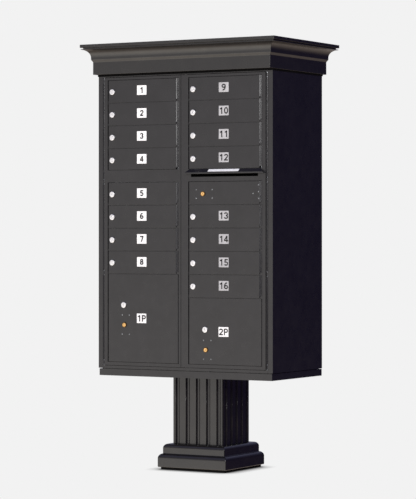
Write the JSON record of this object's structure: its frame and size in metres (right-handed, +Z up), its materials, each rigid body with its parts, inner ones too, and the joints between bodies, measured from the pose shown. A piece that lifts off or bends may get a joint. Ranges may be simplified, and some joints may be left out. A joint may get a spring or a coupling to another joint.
{
  "type": "cluster mailbox unit",
  "caption": "Free-standing cluster mailbox cabinet with locking tenant and parcel doors, an outgoing mail slot, a moulded crown and a fluted pedestal.",
  "frame": {"origin": "on the ground under the middle of the crown", "axes": "+Z up; front (doors) faces -Y; +X is to the right of a person facing the doors"},
  "size_m": [0.862, 0.532, 1.6505],
  "materials": {
    "cabinet_coating": "dark bronze-grey textured powder coat, satin",
    "leaf_coating": "dark bronze-grey textured powder coat, satin",
    "crown_coating": "dark bronze-grey powder coat, satin",
    "pedestal_coating": "dark bronze-grey powder coat, satin",
    "bare_aluminium": "mill finish",
    "zinc_plated_steel": "zinc plated",
    "lock_nickel": "bright nickel",
    "lock_brass": "satin brass",
    "neoprene": "matte",
    "label_face": "white engraved plate",
    "label_ink": "black filled numerals"
  },
  "bodies": {
    "cabinet": {"isolation_pad": "neoprene", "pedestal_post": "bare_aluminium", "base_moulding": "pedestal_coating", "column_cover": "pedestal_coating", "floor_pan": "cabinet_coating", "side_panel_left": "cabinet_coating", "side_panel_right": "cabinet_coating", "back_panel": "cabinet_coating", "roof_panel": "cabinet_coating", "centre_divider": "bare_aluminium", "shelf_rack_left": "bare_aluminium", "shelf_rack_right": "bare_aluminium", "hinge_rod_left": "zinc_plated_steel", "hinge_rod_right": "zinc_plated_steel", "crown_cap": "crown_coating"},
    "master_door_left": {"master_door_left": "cabinet_coating"},
    "master_door_right": {"master_door_right": "cabinet_coating", "mail_slot_hood": "cabinet_coating"},
    "outgoing_door": {"outgoing_door": "leaf_coating"},
    "parcel_door_1p": {"parcel_door_1p": "leaf_coating"},
    "parcel_door_2p": {"parcel_door_2p": "leaf_coating"},
    "tenant_door_01": {"tenant_door_01": "leaf_coating"},
    "tenant_door_02": {"tenant_door_02": "leaf_coating"},
    "tenant_door_03": {"tenant_door_03": "leaf_coating"},
    "tenant_door_04": {"tenant_door_04": "leaf_coating"},
    "tenant_door_05": {"tenant_door_05": "leaf_coating"},
    "tenant_door_06": {"tenant_door_06": "leaf_coating"},
    "tenant_door_07": {"tenant_door_07": "leaf_coating"},
    "tenant_door_08": {"tenant_door_08": "leaf_coating"},
    "tenant_door_09": {"tenant_door_09": "leaf_coating"},
    "tenant_door_10": {"tenant_door_10": "leaf_coating"},
    "tenant_door_11": {"tenant_door_11": "leaf_coating"},
    "tenant_door_12": {"tenant_door_12": "leaf_coating"},
    "tenant_door_13": {"tenant_door_13": "leaf_coating"},
    "tenant_door_14": {"tenant_door_14": "leaf_coating"},
    "tenant_door_15": {"tenant_door_15": "leaf_coating"},
    "tenant_door_16": {"tenant_door_16": "leaf_coating"},
    "master_latch_left": {"master_latch_left": "zinc_plated_steel"},
    "master_latch_right": {"master_latch_right": "zinc_plated_steel"},
    "carrier_lock_outgoing": {"carrier_lock_outgoing": "lock_brass"},
    "parcel_lock_1p": {"parcel_lock_1p": "lock_nickel"},
    "carrier_lock_1p": {"carrier_lock_1p": "lock_brass"},
    "parcel_lock_2p": {"parcel_lock_2p": "lock_nickel"},
    "carrier_lock_2p": {"carrier_lock_2p": "lock_brass"},
    "tenant_lock_01": {"tenant_lock_01": "lock_nickel"},
    "tenant_lock_02": {"tenant_lock_02": "lock_nickel"},
    "tenant_lock_03": {"tenant_lock_03": "lock_nickel"},
    "tenant_lock_04": {"tenant_lock_04": "lock_nickel"},
    "tenant_lock_05": {"tenant_lock_05": "lock_nickel"},
    "tenant_lock_06": {"tenant_lock_06": "lock_nickel"},
    "tenant_lock_07": {"tenant_lock_07": "lock_nickel"},
    "tenant_lock_08": {"tenant_lock_08": "lock_nickel"},
    "tenant_lock_09": {"tenant_lock_09": "lock_nickel"},
    "tenant_lock_10": {"tenant_lock_10": "lock_nickel"},
    "tenant_lock_11": {"tenant_lock_11": "lock_nickel"},
    "tenant_lock_12": {"tenant_lock_12": "lock_nickel"},
    "tenant_lock_13": {"tenant_lock_13": "lock_nickel"},
    "tenant_lock_14": {"tenant_lock_14": "lock_nickel"},
    "tenant_lock_15": {"tenant_lock_15": "lock_nickel"},
    "tenant_lock_16": {"tenant_lock_16": "lock_nickel"}
  },
  "joints": [
    {"name": "master_door_left_hinge", "type": "hinge", "parent": "cabinet", "child": "master_door_left", "pos_m": [-0.363, -0.194, 0.9625], "axis": [0, 0, -1], "range_deg": [0, 100]},
    {"name": "master_door_right_hinge", "type": "hinge", "parent": "cabinet", "child": "master_door_right", "pos_m": [0.363, -0.194, 0.9625], "axis": [0, 0, 1], "range_deg": [0, 100]},
    {"name": "outgoing_door_hinge", "type": "hinge", "parent": "master_door_right", "child": "outgoing_door", "pos_m": [0.3392, -0.1958, 1.0698], "axis": [0, 0, 1], "range_deg": [0, 110]},
    {"name": "parcel_door_1p_hinge", "type": "hinge", "parent": "master_door_left", "child": "parcel_door_1p", "pos_m": [-0.0266, -0.196, 0.58785], "axis": [0, 0, 1], "range_deg": [0, 100]},
    {"name": "parcel_door_2p_hinge", "type": "hinge", "parent": "master_door_right", "child": "parcel_door_2p", "pos_m": [0.3386, -0.196, 0.54355], "axis": [0, 0, 1], "range_deg": [0, 100]},
    {"name": "tenant_door_01_hinge", "type": "hinge", "parent": "master_door_left", "child": "tenant_door_01", "pos_m": [-0.026, -0.1958, 1.468], "axis": [0, 0, 1], "range_deg": [0, 110]},
    {"name": "tenant_door_02_hinge", "type": "hinge", "parent": "master_door_left", "child": "tenant_door_02", "pos_m": [-0.026, -0.1958, 1.3794], "axis": [0, 0, 1], "range_deg": [0, 110]},
    {"name": "tenant_door_03_hinge", "type": "hinge", "parent": "master_door_left", "child": "tenant_door_03", "pos_m": [-0.026, -0.1958, 1.2908], "axis": [0, 0, 1], "range_deg": [0, 110]},
    {"name": "tenant_door_04_hinge", "type": "hinge", "parent": "master_door_left", "child": "tenant_door_04", "pos_m": [-0.026, -0.1958, 1.2022], "axis": [0, 0, 1], "range_deg": [0, 110]},
    {"name": "tenant_door_05_hinge", "type": "hinge", "parent": "master_door_left", "child": "tenant_door_05", "pos_m": [-0.026, -0.1958, 1.0698], "axis": [0, 0, 1], "range_deg": [0, 110]},
    {"name": "tenant_door_06_hinge", "type": "hinge", "parent": "master_door_left", "child": "tenant_door_06", "pos_m": [-0.026, -0.1958, 0.9812], "axis": [0, 0, 1], "range_deg": [0, 110]},
    {"name": "tenant_door_07_hinge", "type": "hinge", "parent": "master_door_left", "child": "tenant_door_07", "pos_m": [-0.026, -0.1958, 0.8926], "axis": [0, 0, 1], "range_deg": [0, 110]},
    {"name": "tenant_door_08_hinge", "type": "hinge", "parent": "master_door_left", "child": "tenant_door_08", "pos_m": [-0.026, -0.1958, 0.804], "axis": [0, 0, 1], "range_deg": [0, 110]},
    {"name": "tenant_door_09_hinge", "type": "hinge", "parent": "master_door_right", "child": "tenant_door_09", "pos_m": [0.3392, -0.1958, 1.468], "axis": [0, 0, 1], "range_deg": [0, 110]},
    {"name": "tenant_door_10_hinge", "type": "hinge", "parent": "master_door_right", "child": "tenant_door_10", "pos_m": [0.3392, -0.1958, 1.3794], "axis": [0, 0, 1], "range_deg": [0, 110]},
    {"name": "tenant_door_11_hinge", "type": "hinge", "parent": "master_door_right", "child": "tenant_door_11", "pos_m": [0.3392, -0.1958, 1.2908], "axis": [0, 0, 1], "range_deg": [0, 110]},
    {"name": "tenant_door_12_hinge", "type": "hinge", "parent": "master_door_right", "child": "tenant_door_12", "pos_m": [0.3392, -0.1958, 1.2022], "axis": [0, 0, 1], "range_deg": [0, 110]},
    {"name": "tenant_door_13_hinge", "type": "hinge", "parent": "master_door_right", "child": "tenant_door_13", "pos_m": [0.3392, -0.1958, 0.9812], "axis": [0, 0, 1], "range_deg": [0, 110]},
    {"name": "tenant_door_14_hinge", "type": "hinge", "parent": "master_door_right", "child": "tenant_door_14", "pos_m": [0.3392, -0.1958, 0.8926], "axis": [0, 0, 1], "range_deg": [0, 110]},
    {"name": "tenant_door_15_hinge", "type": "hinge", "parent": "master_door_right", "child": "tenant_door_15", "pos_m": [0.3392, -0.1958, 0.804], "axis": [0, 0, 1], "range_deg": [0, 110]},
    {"name": "tenant_door_16_hinge", "type": "hinge", "parent": "master_door_right", "child": "tenant_door_16", "pos_m": [0.3392, -0.1958, 0.7154], "axis": [0, 0, 1], "range_deg": [0, 110]},
    {"name": "master_latch_left_slide", "type": "slide", "parent": "master_door_left", "child": "master_latch_left", "axis": [0, 0, 1], "range_m": [0, 0.012]},
    {"name": "master_latch_right_slide", "type": "slide", "parent": "master_door_right", "child": "master_latch_right", "axis": [0, 0, 1], "range_m": [0, 0.012]},
    {"name": "carrier_lock_outgoing_turn", "type": "hinge", "parent": "outgoing_door", "child": "carrier_lock_outgoing", "pos_m": [0.0866, -0.2005, 1.0665], "axis": [0, 1, 0], "range_deg": [0, 90]},
    {"name": "parcel_lock_1p_turn", "type": "hinge", "parent": "parcel_door_1p", "child": "parcel_lock_1p", "pos_m": [-0.2681, -0.2005, 0.6383], "axis": [0, -1, 0], "range_deg": [0, 90]},
    {"name": "carrier_lock_1p_turn", "type": "hinge", "parent": "parcel_door_1p", "child": "carrier_lock_1p", "pos_m": [-0.2661, -0.2005, 0.5611], "axis": [0, 1, 0], "range_deg": [0, 90]},
    {"name": "parcel_lock_2p_turn", "type": "hinge", "parent": "parcel_door_2p", "child": "parcel_lock_2p", "pos_m": [0.0971, -0.2005, 0.5497], "axis": [0, -1, 0], "range_deg": [0, 90]},
    {"name": "carrier_lock_2p_turn", "type": "hinge", "parent": "parcel_door_2p", "child": "carrier_lock_2p", "pos_m": [0.0991, -0.2005, 0.4725], "axis": [0, 1, 0], "range_deg": [0, 90]},
    {"name": "tenant_lock_01_turn", "type": "hinge", "parent": "tenant_door_01", "child": "tenant_lock_01", "pos_m": [-0.3211, -0.2005, 1.466], "axis": [0, 1, 0], "range_deg": [0, 90]},
    {"name": "tenant_lock_02_turn", "type": "hinge", "parent": "tenant_door_02", "child": "tenant_lock_02", "pos_m": [-0.3211, -0.2005, 1.3774], "axis": [0, 1, 0], "range_deg": [0, 90]},
    {"name": "tenant_lock_03_turn", "type": "hinge", "parent": "tenant_door_03", "child": "tenant_lock_03", "pos_m": [-0.3211, -0.2005, 1.2888], "axis": [0, 1, 0], "range_deg": [0, 90]},
    {"name": "tenant_lock_04_turn", "type": "hinge", "parent": "tenant_door_04", "child": "tenant_lock_04", "pos_m": [-0.3211, -0.2005, 1.2002], "axis": [0, 1, 0], "range_deg": [0, 90]},
    {"name": "tenant_lock_05_turn", "type": "hinge", "parent": "tenant_door_05", "child": "tenant_lock_05", "pos_m": [-0.3211, -0.2005, 1.0678], "axis": [0, 1, 0], "range_deg": [0, 90]},
    {"name": "tenant_lock_06_turn", "type": "hinge", "parent": "tenant_door_06", "child": "tenant_lock_06", "pos_m": [-0.3211, -0.2005, 0.9792], "axis": [0, 1, 0], "range_deg": [0, 90]},
    {"name": "tenant_lock_07_turn", "type": "hinge", "parent": "tenant_door_07", "child": "tenant_lock_07", "pos_m": [-0.3211, -0.2005, 0.8906], "axis": [0, 1, 0], "range_deg": [0, 90]},
    {"name": "tenant_lock_08_turn", "type": "hinge", "parent": "tenant_door_08", "child": "tenant_lock_08", "pos_m": [-0.3211, -0.2005, 0.802], "axis": [0, 1, 0], "range_deg": [0, 90]},
    {"name": "tenant_lock_09_turn", "type": "hinge", "parent": "tenant_door_09", "child": "tenant_lock_09", "pos_m": [0.0441, -0.2005, 1.466], "axis": [0, 1, 0], "range_deg": [0, 90]},
    {"name": "tenant_lock_10_turn", "type": "hinge", "parent": "tenant_door_10", "child": "tenant_lock_10", "pos_m": [0.0441, -0.2005, 1.3774], "axis": [0, 1, 0], "range_deg": [0, 90]},
    {"name": "tenant_lock_11_turn", "type": "hinge", "parent": "tenant_door_11", "child": "tenant_lock_11", "pos_m": [0.0441, -0.2005, 1.2888], "axis": [0, 1, 0], "range_deg": [0, 90]},
    {"name": "tenant_lock_12_turn", "type": "hinge", "parent": "tenant_door_12", "child": "tenant_lock_12", "pos_m": [0.0441, -0.2005, 1.2002], "axis": [0, 1, 0], "range_deg": [0, 90]},
    {"name": "tenant_lock_13_turn", "type": "hinge", "parent": "tenant_door_13", "child": "tenant_lock_13", "pos_m": [0.0441, -0.2005, 0.9792], "axis": [0, 1, 0], "range_deg": [0, 90]},
    {"name": "tenant_lock_14_turn", "type": "hinge", "parent": "tenant_door_14", "child": "tenant_lock_14", "pos_m": [0.0441, -0.2005, 0.8906], "axis": [0, 1, 0], "range_deg": [0, 90]},
    {"name": "tenant_lock_15_turn", "type": "hinge", "parent": "tenant_door_15", "child": "tenant_lock_15", "pos_m": [0.0441, -0.2005, 0.802], "axis": [0, 1, 0], "range_deg": [0, 90]},
    {"name": "tenant_lock_16_turn", "type": "hinge", "parent": "tenant_door_16", "child": "tenant_lock_16", "pos_m": [0.0441, -0.2005, 0.7134], "axis": [0, 1, 0], "range_deg": [0, 90]}
  ]
}
